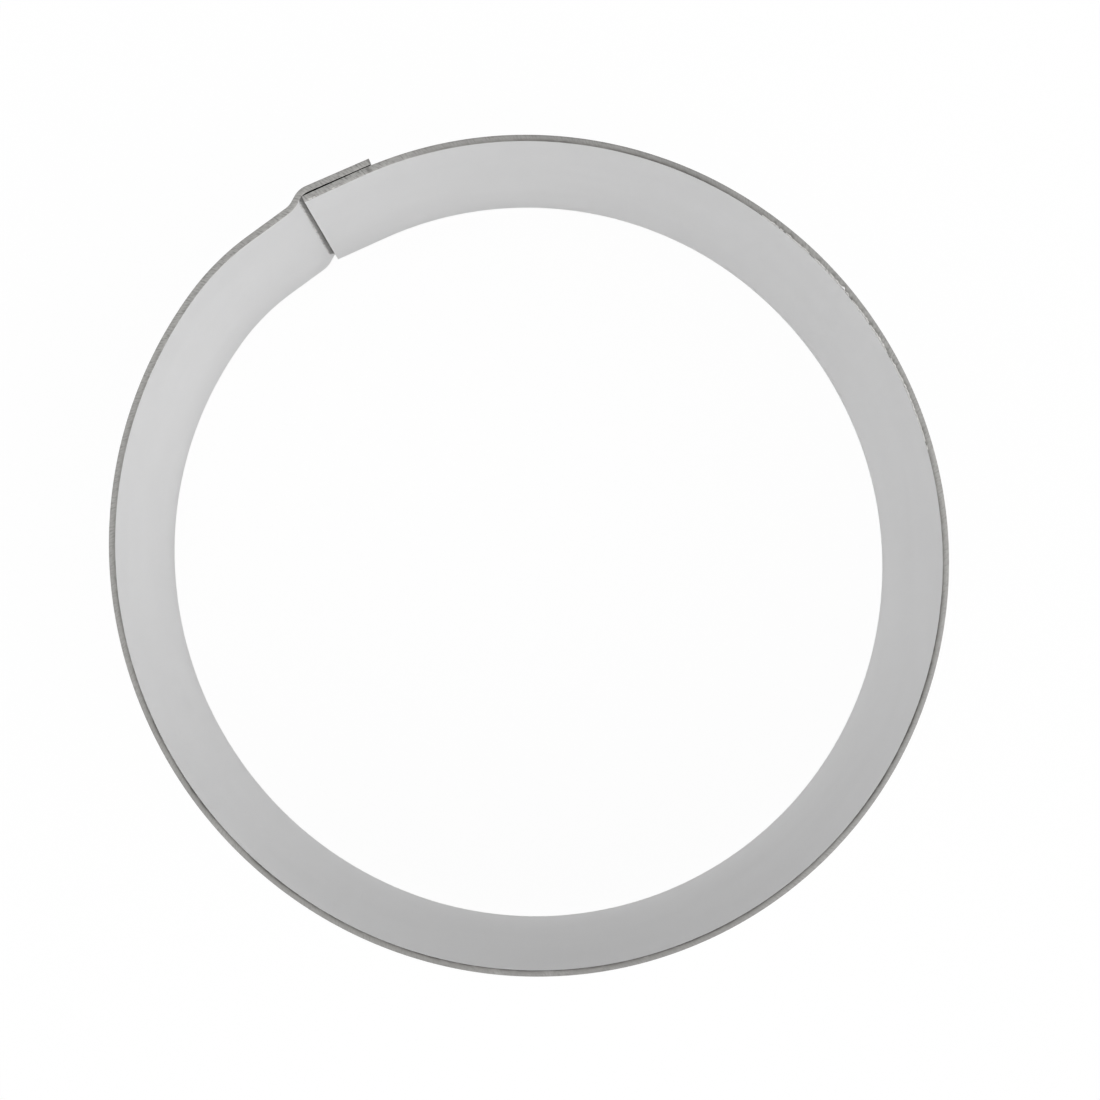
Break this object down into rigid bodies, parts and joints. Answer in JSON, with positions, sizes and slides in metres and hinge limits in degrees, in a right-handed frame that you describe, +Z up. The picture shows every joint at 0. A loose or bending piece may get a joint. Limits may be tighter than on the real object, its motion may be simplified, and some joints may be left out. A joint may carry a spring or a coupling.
{
  "type": "mousse ring",
  "caption": "Round open-ended pastry ring rolled from thin stainless strip, with a joggled, spot-welded lap seam, for moulding mousse, desserts and layered food.",
  "frame": {"origin": "centre of the hoop, in the plane of its lower rim", "axes": "+Z up through the open hoop, +Y at the lap where its flat stretch begins, +X along the lap towards the tail's cut"},
  "size_m": [0.0804, 0.0822, 0.035],
  "materials": {
    "satin_stainless": "cold-rolled satin sheet, bare sheared edges",
    "weld_nugget": "fused, dull"
  },
  "bodies": {
    "root": {"ring_band": "satin_stainless", "spot_weld_1": "weld_nugget", "spot_weld_2": "weld_nugget", "spot_weld_3": "weld_nugget"}
  },
  "joints": []
}
